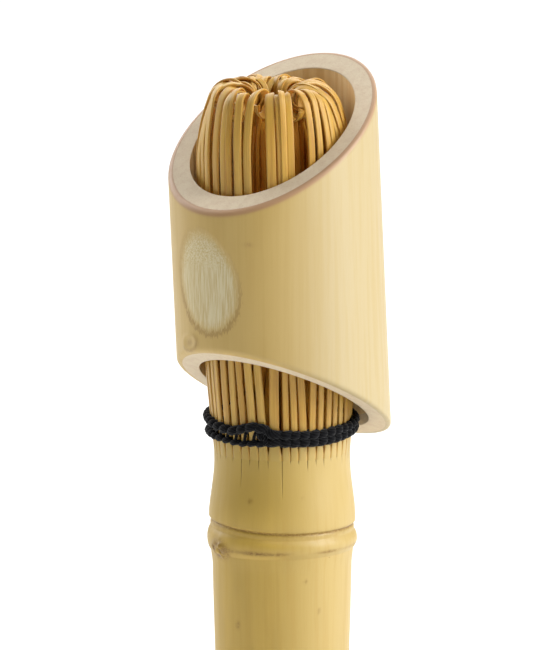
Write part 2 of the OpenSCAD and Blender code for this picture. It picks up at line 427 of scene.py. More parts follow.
def tine_skin_material(s, culm):
    """Split bamboo with its skin outside: golden straw, browner down the edges, partly the sawn edges' own
    colour and partly painted shade of the rounded sides, fibres along each tine.
    Its root has the colour of the culm that it is cut from, and fades to its own over 7 mm."""
    material, tree = new_material("bamboo_tine_split_skin")
    source = put(tree, "TexCoord", out="Object")
    side, inner, tone = (
        put(tree, "Attribute", out="Fac", attribute_name=name) for name in ("side", "inner", "tone"))
    grain = tine_grain(tree, tone)
    streaks = fibres(tree, grain, 0.35 * MM, 14 * MM, 3.0, 2.2)
    fine = fibres(tree, grain, 0.09 * MM, 5 * MM, 2.0, 6.4)
    root = culm_colour(tree, source, culm)[0]
    height = put(tree, "SeparateXYZ", (source,), out=2)
    near_root = (height, CULM["neck_z"] + 1 * MM, CULM["neck_z"] + 8 * MM, 1.0, 0.0)
    outer_face = put(tree, "Math", (1.0, side), operation="SUBTRACT")
    colour = coated(tree, s.light,
                    (s.golden, (tone, 0.0, 1.0)),
                    (s.brown, (streaks, 0.4, 0.7, 0.0, 0.6)),
                    # Browner down the sides: partly the sawn edges' own colour, partly painted shade of the
                    # rounded sides
                    (s.brown, side, 0.5),
                    (s.flesh, inner, 0.8),
                    (root, near_root, outer_face))
    shine = put(tree, "MapRange", (streaks, 0.3, 0.7, 0.42, 0.52), **SMOOTH)
    thin = {"Subsurface Weight": 0.2, "Subsurface Radius": (1.0, 0.6, 0.2), "Subsurface Scale": 0.8 * MM}
    surface(tree, colour, shine, fine, 0.02 * MM, 0.5, IOR=1.5, **thin)
    return material


def tine_flesh_material(s):
    """Inner wood of the culm, split thin: matt, and a deeper orange than the skin."""
    material, tree = new_material("bamboo_tine_inner_wood")
    tone = put(tree, "Attribute", out="Fac", attribute_name="tone")
    streaks = fibres(tree, tine_grain(tree, tone), 0.2 * MM, 8 * MM, 3.0, 4.4)
    colour = coated(tree, s.wood, (s.dark, (tone, 0.0, 1.0)), (s.dark, (streaks, 0.35, 0.7, 0.0, 0.6)))
    surface(tree, colour, 0.7, streaks, 0.03 * MM, 0.7, **{"Specular IOR Level": 0.25})
    return material


def thread_material(s):
    """Black twisted cotton thread: matt, a little blue, with a fibre sheen and slanting plies 0.35 mm
    apart."""
    material, tree = new_material("cotton_thread_black_twisted")
    uv = put(tree, "UVMap", uv_map="UVMap")
    slant = put(tree, "Mapping", {"Vector": uv, "Rotation": (0, 0, math.radians(38)),
                                  "Scale": (1 / (0.35 * MM),) * 3})
    # The Wave node has a band every 2 pi / 20 of its scale, and 0.32 brings that to 1
    plies = put(tree, "TexWave", {"Vector": slant, "Scale": 0.32, "Distortion": 0.6}, out="Fac")
    source = put(tree, "TexCoord", out="Object")
    fuzz = put(tree, "TexNoise", {"Vector": source, "Scale": 1 / (0.12 * MM), "Detail": 2.0})
    lit = put(tree, "Math", (plies, fuzz), operation="MULTIPLY")
    colour = coated(tree, s.black, (s.fibre, (lit, 0.2, 0.6)))
    cotton = {"Specular IOR Level": 0.12, "Sheen Weight": 0.12, "Sheen Roughness": 0.5}
    surface(tree, colour, 0.95, plies, 0.1 * MM, 0.9, **cotton)
    return material


def sleeve_skin_material(s):
    """Bleached bamboo skin with half gloss, and an oval where the skin was scraped down to pale fibres. oval
    is the distance from the oval's middle in its own half widths, and rise the height over it in half
    heights."""
    material, tree = new_material("bamboo_sleeve_skin_bleached")
    source = put(tree, "TexCoord", out="Object")
    oval, rise, mark, rim = (
        put(tree, "Attribute", out="Fac", attribute_name=name) for name in ("oval", "rise", "mark", "rim"))
    colour, streaks, fine = culm_layers(tree, source, s)

    fuzz = fibres(tree, source, 0.22 * MM, 1.1 * MM, 2.0, 9.1)
    ragged = put(tree, "MapRange", (fuzz, 0.3, 0.7, -0.045, 0.045), **SMOOTH)
    reach = put(tree, "Math", (oval, ragged), operation="ADD")
    inside = put(tree, "MapRange", (reach, 1.0, 0.7, 0.0, 0.9), **SMOOTH)
    # Long fibres below, torn short above
    long_grain = fibres(tree, source, 0.2 * MM, 5 * MM, 3.0, 2.6)
    torn_grain = fibres(tree, source, 0.24 * MM, 0.3 * MM, 2.0, 4.6)
    grain = coated(tree, long_grain, (torn_grain, (rise, 0.1, 0.6)))
    scraped = coated(tree, s.scraped, (s.streak, (grain, 0.38, 0.66, 0.0, 0.6)))
    colour = coated(tree, colour,
                    (scraped, inside),
                    # The brown outline is strongest on the oval's low side
                    (s.outline, (reach, 0.88, 0.96), (reach, 1.03, 0.98), (rise, 0.4, -0.7, 0.25, 1.0), 0.55),
                    (s.outline, mark, (fuzz, 0.3, 0.6, 0.4, 1.0)),
                    (s.cut_edge, rim, 0.8))

    shine = put(tree, "MapRange", (streaks, 0.3, 0.7, 0.44, 0.52), **SMOOTH)
    rough = put(tree, "Math", (inside, 0.35, shine), operation="MULTIPLY_ADD")
    torn = put(tree, "Math", (grain, 2.2), operation="MULTIPLY")
    smooth = put(tree, "Math", (fine, 0.25), operation="MULTIPLY")
    relief = put(tree, "Math", (inside, torn, smooth), operation="MULTIPLY_ADD")
    surface(tree, colour, rough, relief, 0.06 * MM, 0.6, IOR=1.5, **{"Specular IOR Level": 0.6})
    return material


def cut_wood_material(s):
    """Sawn and sanded end grain: pale pith wood with darker fibre bundles 0.55 mm apart, browner under the
    skin."""
    material, tree = new_material("bamboo_end_grain_sanded")
    source = put(tree, "TexCoord", out="Object")
    rim = put(tree, "Attribute", out="Fac", attribute_name="rim")
    bundles = put(tree, "TexVoronoi", {"Vector": source, "Scale": 1 / (0.55 * MM)}, out="Distance")
    cloud = put(tree, "TexNoise", {"Vector": source, "Scale": 1 / (1.6 * MM), "Detail": 4.0})
    fine = put(tree, "TexNoise", {"Vector": source, "Scale": 1 / (0.2 * MM), "Detail": 3.0})
    colour = coated(tree, s.cut,
                    (s.cut_edge, (cloud, 0.35, 0.7, 0.0, 0.16)),
                    (s.cut_edge, (bundles, 0.42, 0.2), (rim, 0.0, 1.0, 0.12, 0.45)),
                    (s.cut_edge, (fine, 0.5, 0.75, 0.0, 0.16)),
                    (s.cut_edge, (rim, 0.1, 0.9, 0.0, 0.8)))
    relief = put(tree, "Math", (fine, bundles), operation="ADD")
    surface(tree, colour, 0.75, relief, 0.03 * MM, 0.6)
    return material


def bore_material(s):
    """Inner wall of the culm with its papery lining scraped away: dull straw, with fibres along the tube."""
    material, tree = new_material("bamboo_inner_wall_raw")
    source = put(tree, "TexCoord", out="Object")
    wide = fibres(tree, source, 1.2 * MM, 20 * MM, 3.0, 4.0)
    fine = fibres(tree, source, 0.2 * MM, 5 * MM, 3.0, 7.0)
    colour = coated(tree, s.bore,
                    (s.bore_dark, (wide, 0.35, 0.65)),
                    (s.bore_dark, (fine, 0.45, 0.7, 0.0, 0.5)))
    surface(tree, colour, 0.6, fine, 0.05 * MM, 0.8)
    return material


# --- Handle --------------------------------------------------------------------------------------


def colour_property(name, description, hex_colour):
    return bpy.props.FloatVectorProperty(name=name, description=description, subtype="COLOR", size=4,
                                         default=linear(hex_colour), min=0, max=1)


def length_property(name, description, millimetres):
    return bpy.props.FloatProperty(name=name, description=description, default=millimetres * MM,
                                   subtype="DISTANCE", unit="LENGTH", precision=5)


def angle_property(name, description, degrees):
    return bpy.props.FloatProperty(name=name, description=description, default=math.radians(degrees),
                                   subtype="ANGLE", unit="ROTATION")


def light_property(name, what, radiance):
    return bpy.props.FloatProperty(name=name, description="Radiance of " + what, default=radiance, min=0)


class TeaWhiskHandle(bpy.types.PropertyGroup):
    shank_r: length_property("Shank radius", "Radius of the culm just under the node ring", 12.0)
    lip_r: length_property("Lip radius", "Radius of the lip over the sheath scar", 12.62)
    collar: length_property("Collar", "How far the wall between ring and scar stands back from the lip", 0.24)
    lip_rise: length_property("Lip rise", "Height from the ring up to the sheath scar", 2.8)
    ring_half: length_property("Ring half height", "Half the height of the node ring", 1.7)
    scar_depth: length_property("Scar depth", "Depth of the groove that the sheath left", 0.22)
    lip_slant: length_property("Lip slant", "How much lower the scar is on the right than in the middle", 0.42)
    lip_wave: length_property("Lip wave", "How much higher the scar is at both sides than in front", 0.5)
    ring_slant: length_property("Ring slant", "How much higher the ring's foot is on the right", 0.3)
    unevenness: length_property("Unevenness", "How far the culm wanders from round", 0.06)
    crack_depth: length_property("Crack depth", "Depth of the hairline cracks below the splits", 0.14)
    skin: colour_property("Skin", "Straw of the skin", "#c1a048")
    # Painted sheen: the paler colour painted over the lit right side of the culm
    pale: colour_property("Pale side", "Skin of the side that the sun bleached", "#bda467")
    shade: colour_property("Clouds", "Duller clouds in the skin", "#b59643")
    streak: colour_property("Streaks", "Darker streaks along the culm", "#ae8a3c")
    neck: colour_property("Neck", "Olive tint above the ring", "#ac8f3f")
    stain: colour_property("Stain", "Brown of the scar and of the dirt under the ring", "#7a560e")
    crack: colour_property("Crack", "Dark of a hairline crack", "#3a2610")


# How far the shank flares out before it meets the ring, and the share of the ring's swell that the oval has
FLARE = 0.3 * MM
RING_SHARE = 0.95


def culm_radius(height, s):
    """Radius of the culm's skin. It eases from the foot to the shank, out to the ring's collar and the lip,
    and back in to the neck, with an oval ring and a bell-shaped scar groove added."""
    ring_z = CULM["ring_z"]
    scar_z = ring_z + s.lip_rise
    radius = CULM["foot_r"] + (s.shank_r - CULM["foot_r"]) * ease(height, 0.3 * ring_z, 0.95 * ring_z)
    radius += FLARE * ease(height, ring_z - 4.5 * MM, ring_z - 1 * MM)
    radius += (s.lip_r - s.collar - s.shank_r - FLARE) * ease(height, ring_z - 0.3 * MM, ring_z + 1.6 * MM)
    radius += s.collar * ease(height, scar_z - 0.3 * MM, scar_z + 0.4 * MM)
    radius += (CULM["neck_r"] - s.lip_r) * ease(height, scar_z + 0.8 * MM, CULM["neck_z"] - 1.5 * MM)
    oval = np.clip(1 - ((height - ring_z) / s.ring_half) ** 2, 0, 1)
    radius += (CULM["ring_r"] - s.shank_r - FLARE) * RING_SHARE * oval
    return radius - s.scar_depth * bell(height, scar_z, 0.26 * MM)


# Where single splits run on below the neck as long cracks: degrees from the front, length
LONG_CRACKS = ((0, 6.5 * MM), (-36, 5 * MM))
# The bud scar on the ring: degrees from the front, and how far under the ring's middle
BUD_PLACE, BUD_DROP = -58, 0.9 * MM
# Patches of dirt under the ring: degrees from the front, width in degrees, strength
RING_DIRT = ((-21, 9, 1.2), (-3, 8, 0.7), (-47, 14, 0.3), (38, 9, 0.7), (160, 16, 0.8))
# Specks in the skin: degrees from the front, height and size in mm
SPECKS = ((-27, 46.8, 0.3), (17, 47.5, 0.2), (20, 33.0, 0.2), (32, 27.6, 0.25), (-40, 25.0, 0.45))


def bud_scar(a, z):
    """How much of the bud scar stands at each point, 0 .. 1 over a rounded oval, and its pits as the product
    of two waves, -1 .. 1."""
    up = z - (CULM["ring_z"] - BUD_DROP)
    across = turned(a, FRONT + math.radians(BUD_PLACE)) * CULM["ring_r"]
    bud = np.exp(-(((across / (2.3 * MM)) ** 2 + (up / (1.2 * MM)) ** 2) ** 1.4))
    return bud, np.cos(across / (0.33 * MM) + 1.1) * np.cos(up / (0.27 * MM) + 0.6 * across / MM)


def culm_dirt(a, z, s, bud, pits, rng):
    """Brown of the skin, 0 .. 1: all along the sheath scar, in patches under the ring, round the bud scar and
    in its pits, and in single specks."""
    scar_z = CULM["ring_z"] + s.lip_rise
    scar = bell(z, scar_z, 0.24 * MM) * (0.75 + 0.25 * ripple(a, z, rng))
    scar = scar + 0.22 * bell(z, scar_z - 0.3 * MM, 0.8 * MM)
    ring_foot = bell(z, CULM["ring_z"] - 0.65 * MM, 0.34 * MM)
    patches = 0.2 + 0.3 * ripple(a, z * 0, rng, 7)
    for place, width, amount in RING_DIRT:
        patches = patches + amount * bell(turned(a, FRONT + math.radians(place)), 0, math.radians(width))
    rim = np.clip(bud * (1 - bud) * 2.4 + bud * np.clip(-pits, 0, 1) * 1.5, 0, 1)
    specks = 0
    for place, rise, size in SPECKS:
        off = turned(a, FRONT + math.radians(place)) * s.shank_r
        specks = specks + 0.7 * bell(np.hypot(off, (z - rise * MM) / 1.4), 0, size * MM)
    return np.clip(scar + ring_foot * np.clip(patches, 0, 1) + rim + specks, 0, 1)


def build_handle(s):
    """The culm as one closed skin: up the blind bore's wall, round the foot, up the outside and down the
    cavity. Rows follow the slanting scar and ring, columns crowd together at the 48 splits, where cracks are
    sunk."""
    rng = np.random.default_rng(11)
    neck_z, ring_z, scar_z = CULM["neck_z"], CULM["ring_z"], CULM["ring_z"] + s.lip_rise
    beside = np.radians([-2.9, -1.9, -0.9, -0.35, 0.0, 0.35, 0.9, 1.9])
    split_angle = moved(np.arange(COUNT) * PITCH, SPLIT_SHIFT)
    angle = (split_angle[:, None] + beside).reshape(-1)
    outside = np.concatenate([
        np.linspace(0.7 * MM, ring_z - 7 * MM, 60),
        np.linspace(ring_z - 6.6 * MM, ring_z - 2.6 * MM, 12),
        np.linspace(ring_z - 2.4 * MM, scar_z + 1.2 * MM, 62),
        np.linspace(scar_z + 1.6 * MM, neck_z, 34)])
    a, z = angle[None, :], outside[:, None]
    fade = ease(z, 0, 4 * MM) * ease(z, neck_z, neck_z - 3 * MM)
    skin_r = culm_radius(z, s) + s.unevenness * fade * ripple(a, z, rng)

    # Cracks: every split runs on a little below the neck, two of them far
    reach = rng.uniform(0.4, 1.8, COUNT) * MM
    for place, length in LONG_CRACKS:
        reach[np.abs(turned(split_angle, FRONT + math.radians(place))).argmin()] = length
    depth = np.clip(1 - (neck_z - z) / np.repeat(reach, len(beside)), 0, 1) ** 0.6
    crack = depth * np.tile(beside == 0, COUNT)
    bud, pits = bud_scar(a, z)
    skin_r = skin_r - s.crack_depth * crack + bud * (0.4 + 0.28 * pits) * MM
    stain = culm_dirt(a, z, s, bud, pits, rng)

    slant = (s.lip_wave * np.cos(a) ** 2 - s.lip_slant * np.cos(a)) * bell(z, scar_z, 3 * MM)
    slant = slant + s.ring_slant * np.cos(a + 0.4) * bell(z, ring_z - s.ring_half, 1.6 * MM)
    skin = around(a, skin_r, 0, z + slant)

    # Inner rows, as (radius, height) pairs: up the bore, round the foot, and over the neck into the cavity
    bore_r, bore_top, foot_r = CULM["bore_r"], CULM["bore_top"], CULM["foot_r"]
    below = np.array([[bore_r, bore_top], [bore_r, bore_top * 0.5], [bore_r, 0.5 * MM],
                      [bore_r + 0.15 * MM, 0.15 * MM], [bore_r + 0.5 * MM, 0], [foot_r - 0.8 * MM, 0],
                      [foot_r - 0.35 * MM, 0.12 * MM], [foot_r - 0.08 * MM, 0.38 * MM]])
    cavity_r, cavity_low = CULM["cavity_r"], CULM["cavity_low"]
    above = np.array([[CULM["neck_r"] - 0.6 * MM, neck_z], [cavity_r, neck_z], [cavity_r, cavity_low]])

    def rings(pairs):
        radius, height = pairs[:, 0, None], pairs[:, 1, None]
        return around(angle, radius, 0, height)

    points = np.concatenate([rings(below), skin, rings(above)])[None]
    pad = ((len(below), len(above)), (0, 0))
    values = {"stain": np.pad(stain, pad)[None], "crack": np.pad(crack, pad)[None]}
    return build("handle_culm", points, sharp=60, **values)


# --- Tines ---------------------------------------------------------------------------------------


# The two widest gaps, in degrees from the front, and how far the tines beside each turn their curls into it
WIDE_GAPS = ((-15, 0.2), (25, -0.08))
MOST_YAW = 0.42


class TeaWhiskTines(bpy.types.PropertyGroup):
    width: length_property("Tine width", "Width of an outer tine", 1.2)
    depth: length_property("Tine thickness", "Thickness of an outer tine", 0.44)
    tip_width: length_property("Tip width", "Width of an outer tine at its curl", 1.18)
    shoulder_r: length_property("Shoulder radius", "Radius of the long bend below the crown", 30.0)
    shoulder: angle_property("Shoulder angle", "Angle that the shoulder leans inwards", 21)
    crown_r: length_property("Crown radius", "Radius of the bend over the top", 5.0)
    curl_r: length_property("Curl radius", "Radius of the curled tip", 2.6)
    curl: angle_property("Curl angle", "Angle that the tip curls through", 240)
    front_drop: length_property("Front drop", "How much lower the crown is in front", 1.0)
    front_tightness: length_property("Front tightness", "How much smaller the crown's radius is in front", 2.3)
    disorder: bpy.props.FloatProperty(name="Disorder", description="How unlike each other the tines are",
                                      default=1.0, min=0, max=2)
    light: colour_property("Light skin", "Palest tines", "#cca64e")
    golden: colour_property("Golden skin", "Warmest tines", "#c09439")
    flesh: colour_property("Inner face", "Inner face of the tines", "#e8b655")
    # Brown for the fibres and sawn edges, and also painted shade down the tines' rounded sides
    brown: colour_property("Brown", "Sawn edges and fibres", "#a3722a")


def tine_side_view(top, belly, shoulder, shoulder_r, crown_r, curl, curl_r):
    """Outer face of each tine seen from the side, one row each: radius, height, the angle that its outside
    faces up by, how far it is into the head (0 on the shaft, over 1 in the curl), and whether it is past the
    shaft. The shaft flares from the neck as 1 - (1 - t)^3 and is followed by three arcs: shoulder, crown and
    a curl that tightens."""
    neck_z, neck_r = CULM["neck_z"], CULM["neck_r"]
    crown_x = belly - shoulder_r * (1 - np.cos(shoulder)) - crown_r * np.cos(shoulder)
    crown_z = top - crown_r
    shoulder_z = crown_z + (crown_r - shoulder_r) * np.sin(shoulder)
    t = np.linspace(0, 1, 30) ** 1.25
    bend = shoulder * np.linspace(0, 1, 7)[1:]
    over = shoulder + (np.pi / 2 - shoulder) * np.linspace(0, 1, 9)[1:]
    along = np.linspace(0, 1, 25)[1:]
    hook = np.pi / 2 + curl * along
    tight = curl_r * (1 - 0.16 * along)
    radius = np.concatenate([neck_r + (belly - neck_r) * (1 - (1 - t) ** 3),
                             belly - shoulder_r * (1 - np.cos(bend)),
                             crown_x + crown_r * np.cos(over),
                             crown_x + tight * np.cos(hook)], 1)
    height = np.concatenate([neck_z + (shoulder_z - neck_z) * t,
                             shoulder_z + shoulder_r * np.sin(bend),
                             crown_z + crown_r * np.sin(over),
                             top - curl_r + tight * np.sin(hook)], 1)
    lift = np.concatenate([np.zeros((COUNT, len(t))), bend, over, hook], 1)
    at_head = np.concatenate([0 * t, np.linspace(0, 0.35, bend.shape[1]),
                              np.linspace(0.4, 0.8, over.shape[1]), 0.8 + along * 0.9])
    return radius, height, lift, at_head, np.arange(radius.shape[1]) >= len(t)


def outer_tine_grids(s):
    """All outer tines: the side view of each, turned and moved as the tine leans on its neighbours. In front
    view a tine is as wide as its share of the culm at the neck, which closes the split, and narrows over 3
    mm."""
    rng = np.random.default_rng(23)

    def vary(amount):
        return rng.uniform(-1, 1, (COUNT, 1)) * amount * s.disorder

    split = moved(np.arange(COUNT + 1) * PITCH, SPLIT_SHIFT)
    angle = ((split[:-1] + split[1:]) / 2)[:, None]
    share = np.diff(split)[:, None]
    lean_to = moved(angle, HEAD_SHIFT) - angle
    in_front = np.clip(np.cos(turned(angle, FRONT)), 0, 1)
    top = CAGE_TOP - 0.4 * MM - np.abs(vary(0.9 * MM)) - s.front_drop * in_front**2
    belly = CAGE_R - 0.4 * MM + vary(0.28 * MM)
    shoulder_r = s.shoulder_r + vary(3 * MM)
    crown_r = s.crown_r + vary(0.9 * MM) - vary(1.2 * MM) * (1 - in_front) - s.front_tightness * in_front**2
    shoulder, curl_r = s.shoulder + vary(0.045) - 0.1 * in_front**2, s.curl_r + vary(0.5 * MM)
    # A curl fits under its own crown, so that its tip stays behind the shaft
    curl_r = np.minimum(curl_r, crown_r - 0.2 * MM)
    curl, yaw = s.curl + vary(0.7), vary(0.22)
    # One in four turns well aside and shows its curl from the edge
    yaw = np.where(np.abs(vary(1)) < 0.25, yaw * 2.6, yaw)
    yaw = np.clip(yaw * (1 - 0.7 * in_front**12) * (1.5 - 0.5 * in_front), -MOST_YAW, MOST_YAW)
    place = np.degrees(turned(angle, FRONT))
    for gap, towards in WIDE_GAPS:
        yaw = yaw * (1 - bell(place, gap, 5)) + towards * bell(place, gap, 4)

    radius, height, lift, at_head, past_shaft = tine_side_view(
        top, belly, shoulder, shoulder_r, crown_r, curl, curl_r)
    facing = around(angle, np.cos(lift), 0 * lift, np.sin(lift))
    rise = height - CULM["neck_z"]
    settle = ease(rise, 3 * MM, 34 * MM)
    inward = (belly - radius) * past_shaft
    sideways = (lean_to * radius + vary(0.14 * MM)) * settle
    sideways = sideways + np.tan(yaw) * inward + vary(0.25 * MM) * at_head
    depth = s.depth * (1 + 0.8 * ease(rise, 3 * MM, 0) + vary(0.12)) * (1 - 0.25 * at_head.clip(0, 1))
    path = around(angle, radius, sideways, height) - facing * (depth / 2)[..., None]
    twist = (vary(0.12) * settle + vary(0.5) * at_head)[..., None]
    tangent = unit(np.gradient(path, axis=1))
    facing = facing * np.cos(twist) + np.cross(tangent, facing) * np.sin(twist)

    full = CULM["neck_r"] * share * 1.02
    opening = ease(rise, 0.2 * MM + np.abs(vary(0.9 * MM)), 3.2 * MM)
    own = s.width * (1 + vary(0.13)) * (share / PITCH) ** 0.7
    width = full + (own - full) * opening + (s.tip_width - s.width) * at_head.clip(0, 1) ** 0.8
    outline = superellipse(12, 4.5)
    points = lean(sweep(path, facing, width / 2, depth / 2, outline))
    values = {
        # side is 0 mid outer face and 1 down the edges: sawn-edge colour and painted shade of the rounded sides
        "side": np.clip(1.3 * np.abs(outline[:, 0]) - 1.3 * np.clip(outline[:, 1], 0, 1) + 0.35, 0, 1),
        "inner": np.clip(-outline[:, 1], 0, 1),
        "tone": rng.uniform(0, 1, (COUNT, 1, 1)),
    }
    values = {name: np.broadcast_to(value, points.shape[:3]) for name, value in values.items()}
    return points, strip_uv(path, outline, s.width / 2), values


def inner_tine_grids(s):
    """All inner tines: from the culm's inner wood they draw together to the bundle as an ease curve, then
    rise to the tips, each at its own distance from the middle, a few bending over at the end."""
    rng = np.random.default_rng(37)
    angle = moved((np.arange(COUNT) + 0.5) * PITCH, SPLIT_SHIFT)[:, None]
    neck_z = CULM["neck_z"]
    tip = s.height + rng.uniform(-2.5, 2.0, (COUNT, 1)) * MM
    t = np.linspace(0, 1, 34)
    rise = tip * t
    bundle = rng.uniform(s.bundle_inner, s.bundle_outer, (COUNT, 1))
    root = CULM["cavity_r"] + 1 * MM
    radius = root + (bundle - root) * ease(rise, 1 * MM, 21 * MM)
    radius = radius + rng.uniform(-1.2, 0.9, (COUNT, 1)) * MM * ease(rise, 26 * MM, tip)
    bend = rng.uniform(0.2, 1.0, (COUNT, 1)) ** 2
    radius = radius - 2.2 * MM * bend * np.clip((t - 0.88) / 0.12, 0, 1) ** 2
    sideways = rng.uniform(-0.7, 0.7, (COUNT, 1)) * MM * ease(rise, 5 * MM, tip)
    path = around(angle, radius, sideways, neck_z + rise)
    facing = around(angle + rng.uniform(-0.4, 0.4, (COUNT, 1)) * t, 1 + 0 * radius, 0 * radius, 0)
    width = s.width * (1.75 - 0.75 * ease(rise, 3 * MM, 16 * MM)) * (1 - 0.25 * t) + 0 * tip
    depth = s.depth * (1 - 0.2 * t) + 0 * tip
    outline = superellipse(8, 4)
    points = lean(sweep(path, facing, width / 2, depth / 2, outline))
    values = {"tone": np.broadcast_to(rng.uniform(0, 1, (COUNT, 1, 1)), points.shape[:3])}
    return points, strip_uv(path, outline, s.width / 2), values


class TeaWhiskInnerTines(bpy.types.PropertyGroup):
    width: length_property("Width", "Width of an inner tine", 0.85)
    depth: length_property("Thickness", "Thickness of an inner tine", 0.45)
    height: length_property("Height", "Height of the tips over the neck", 58.6)
    bundle_inner: length_property("Bundle inner radius", "Distance of the innermost tines from the middle", 2.6)
    bundle_outer: length_property("Bundle outer radius", "Distance of the outermost tines from the middle", 6.4)
    wood: colour_property("Wood", "Lighter inner wood", "#eaaf3c")
    dark: colour_property("Dark wood", "Darker inner wood", "#cc882a")


def build_sections(nodes, points, uv, values, slot, material):
    """One piece for each section of the culm, from the grids of all its tines."""
    for i, node in enumerate(nodes):
        own = slice(i * PER_SECTION, (i + 1) * PER_SECTION)
        own_values = {name: value[own] for name, value in values.items()}
        piece = build(node + "_split", points[own], uv=uv[own], **own_values)
        finish_piece(piece, WHISK, [node], slot, material)


# --- Thread --------------------------------------------------------------------------------------


class TeaWhiskThread(bpy.types.PropertyGroup):
    thickness: length_property("Thread thickness", "Diameter of the thread", 1.5)
    weave: length_property("Weave depth", "How far the thread moves in and out of the tines", 0.75)
    crossing: length_property("Crossing", "How far the two strands of a row pass over each other", 0.16)
    climb: length_property("Climb", "How far the third strand climbs where the rows part", 2.1)
    black: colour_property("Black", "Shadowed thread", "#040407")
    fibre: colour_property("Fibre", "Lit fibres", "#131418")


# Course of each row of thread: angle from the front in degrees, height over its place in the frame in mm, and
# share of the full thickness
LOW_ROW_COURSE = ((-180, 0.6, 1), (-120, 0.3, 1), (-90, 0.2, 1), (-72, 0.1, 0.95), (-58, -0.3, 0.7),
                  (-35, -0.5, 0.65), (-17, -0.3, 0.7), (-10, 0.05, 1), (0, 0.0, 1), (30, -0.1, 1),
                  (60, 0.4, 1), (90, 1.0, 1), (135, 0.9, 1))
TOP_ROW_COURSE = ((-180, 0.9, 1), (-120, 0.8, 1), (-90, 0.5, 1), (-62, -0.4, 1), (-42, -0.8, 1),
                  (-24, 0.4, 1.05), (-13, 0.1, 1.1), (-8, -0.9, 1.1), (0, -1.0, 1), (30, -1.1, 1),
                  (60, -0.7, 1), (90, 0.0, 1), (135, 0.6, 1))
# Where the rows part, in degrees from the front: they start to at the first place, are apart between the
# middle two and meet at the last
PARTED = (-74, -60, -14, -9)


def course(angle, stops):
    """Height and thickness along a row: straight between the stops, then averaged over 6 degrees to round the
    corners."""
    places, rises, shares = np.array(stops).T
    degrees = np.degrees(turned(angle, FRONT)) + np.linspace(-3, 3, 7)[:, None]
    rise = np.interp(degrees, places, rises, period=360).mean(0) * MM
    return rise, np.interp(degrees, places, shares, period=360).mean(0)


def strand(angle, radius, height, thickness, sides=10):
    """A closed round thread along radius and height given at each angle, with its UV."""
    path = around(angle, radius, 0, height)
    # One more step at each end keeps the joined ends smooth
    wrapped = np.concatenate([path[-1:], path, path[:1]])[None]
    facing = around(angle, 1, 0, 0)
    facing = np.concatenate([facing[-1:], facing, facing[:1]])[None]
    half = np.concatenate([thickness[-1:], thickness, thickness[:1]])[None] / 2
    outline = superellipse(sides, 2)
    points = lean(sweep(wrapped, facing, half, half, outline))[:, 1:-1]
    loop = np.concatenate([path, path[:1]])[None]
    return points, strip_uv(loop, outline, thickness.mean() / 2)


def row_strands(s, plane, stops, seed, climb):
    """The two strands of a row, and a third where the rows part if it climbs. Of the two, each goes outside
    one tine and inside the next, as a cosine whose wave is two tines long, and the other does the opposite."""
    rng = np.random.default_rng(seed)
    even = np.linspace(0, 2 * np.pi, COUNT * 8, endpoint=False)
    angle = moved(even, SPLIT_SHIFT)
    phase = (even - PITCH / 2) * COUNT / 2
    rise, share = course(angle, stops)
    base = plane[0] + rise
    up = (base - CULM["neck_z"]) / (CAGE_TOP - CULM["neck_z"])
    face = CULM["neck_r"] + (CAGE_R - CULM["neck_r"]) * (1 - (1 - 1.6 * up) ** 3)
    grids = []
    for sign in (1, -1):
        weave = sign * np.cos(phase)
        lumps = np.interp(even, np.arange(COUNT) * PITCH, rng.uniform(-1, 1, COUNT), period=2 * np.pi)
        thickness = s.thickness * share * (0.84 + 0.2 * weave + 0.05 * lumps)
        out = face + s.weave * (weave - 1) / 2 + 0.2 * thickness
        height = base + sign * s.crossing * np.sin(phase) + 0.08 * MM * lumps
        grids.append(strand(angle, out, height, thickness))
    if climb > 0:
        # Where the rows part, a thin third strand falls behind one half of each tine and climbs in front of
        # the other
        place = np.degrees(turned(angle, FRONT))
        apart = ease(place, PARTED[0], PARTED[1]) * ease(place, PARTED[3], PARTED[2])
        climbed = climb * apart * (0.5 - 0.5 * np.cos(2 * phase + 0.6 * np.sin(2 * phase)))
        falling = ease(-np.sin(2 * phase), 0, 0.6)
        out = face + 0.1 * MM * apart - 0.3 * MM * (1 - apart) - 1.1 * MM * apart * falling
        grids.append(strand(angle, out, base + climbed, s.thickness * 0.36 + 0 * angle))
    points = np.concatenate([g[0] for g in grids])
    uv = np.concatenate([g[1] for g in grids])
    return points, uv


def knot_grid(s):
    """A trefoil knot, which is an overhand knot with its ends joined: (sin t + 2 sin 2t, cos t - 2 cos 2t,
    -sin 3t) pressed flat against the tines."""
    t = np.linspace(0, 2 * np.pi, 120, endpoint=False)
    x, y, z = np.sin(t) + 2 * np.sin(2 * t), np.cos(t) - 2 * np.cos(2 * t), -np.sin(3 * t)
    low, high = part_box("thread_knot")
    middle = np.array((low + high) / 2)
    outward = unit(np.array([middle[0], middle[1], 0.0]))
    beside = np.cross((0, 0, 1), outward)
    size = 0.3 * MM
    path = middle - outward * 0.15 * MM + size * (
        x[:, None] * beside + y[:, None] * np.array([0, 0, 1.5]) + 0.9 * z[:, None] * outward)
    wrapped = np.concatenate([path[-1:], path, path[:1]])[None]
    half = np.full((1, len(t) + 2), s.thickness * 0.3)
    outline = superellipse(8, 2)
    facing = np.broadcast_to(outward, wrapped.shape) + 0 * wrapped
    points = sweep(wrapped, facing, half, half, outline)[:, 1:-1]
    return points, strip_uv(np.concatenate([path, path[:1]])[None], outline, s.thickness * 0.3)


# --- Sleeve --------------------------------------------------------------------------------------


# How far the scraped oval's axis leans and its top narrows
OVAL_LEAN, OVAL_TAPER = 0.11, 0.1
# Places of the bud scar and of a dark speck: degrees from the front and height
SLEEVE_BUD = (-60, 74.6 * MM)
SLEEVE_SPECK = (-15.5, 92 * MM)


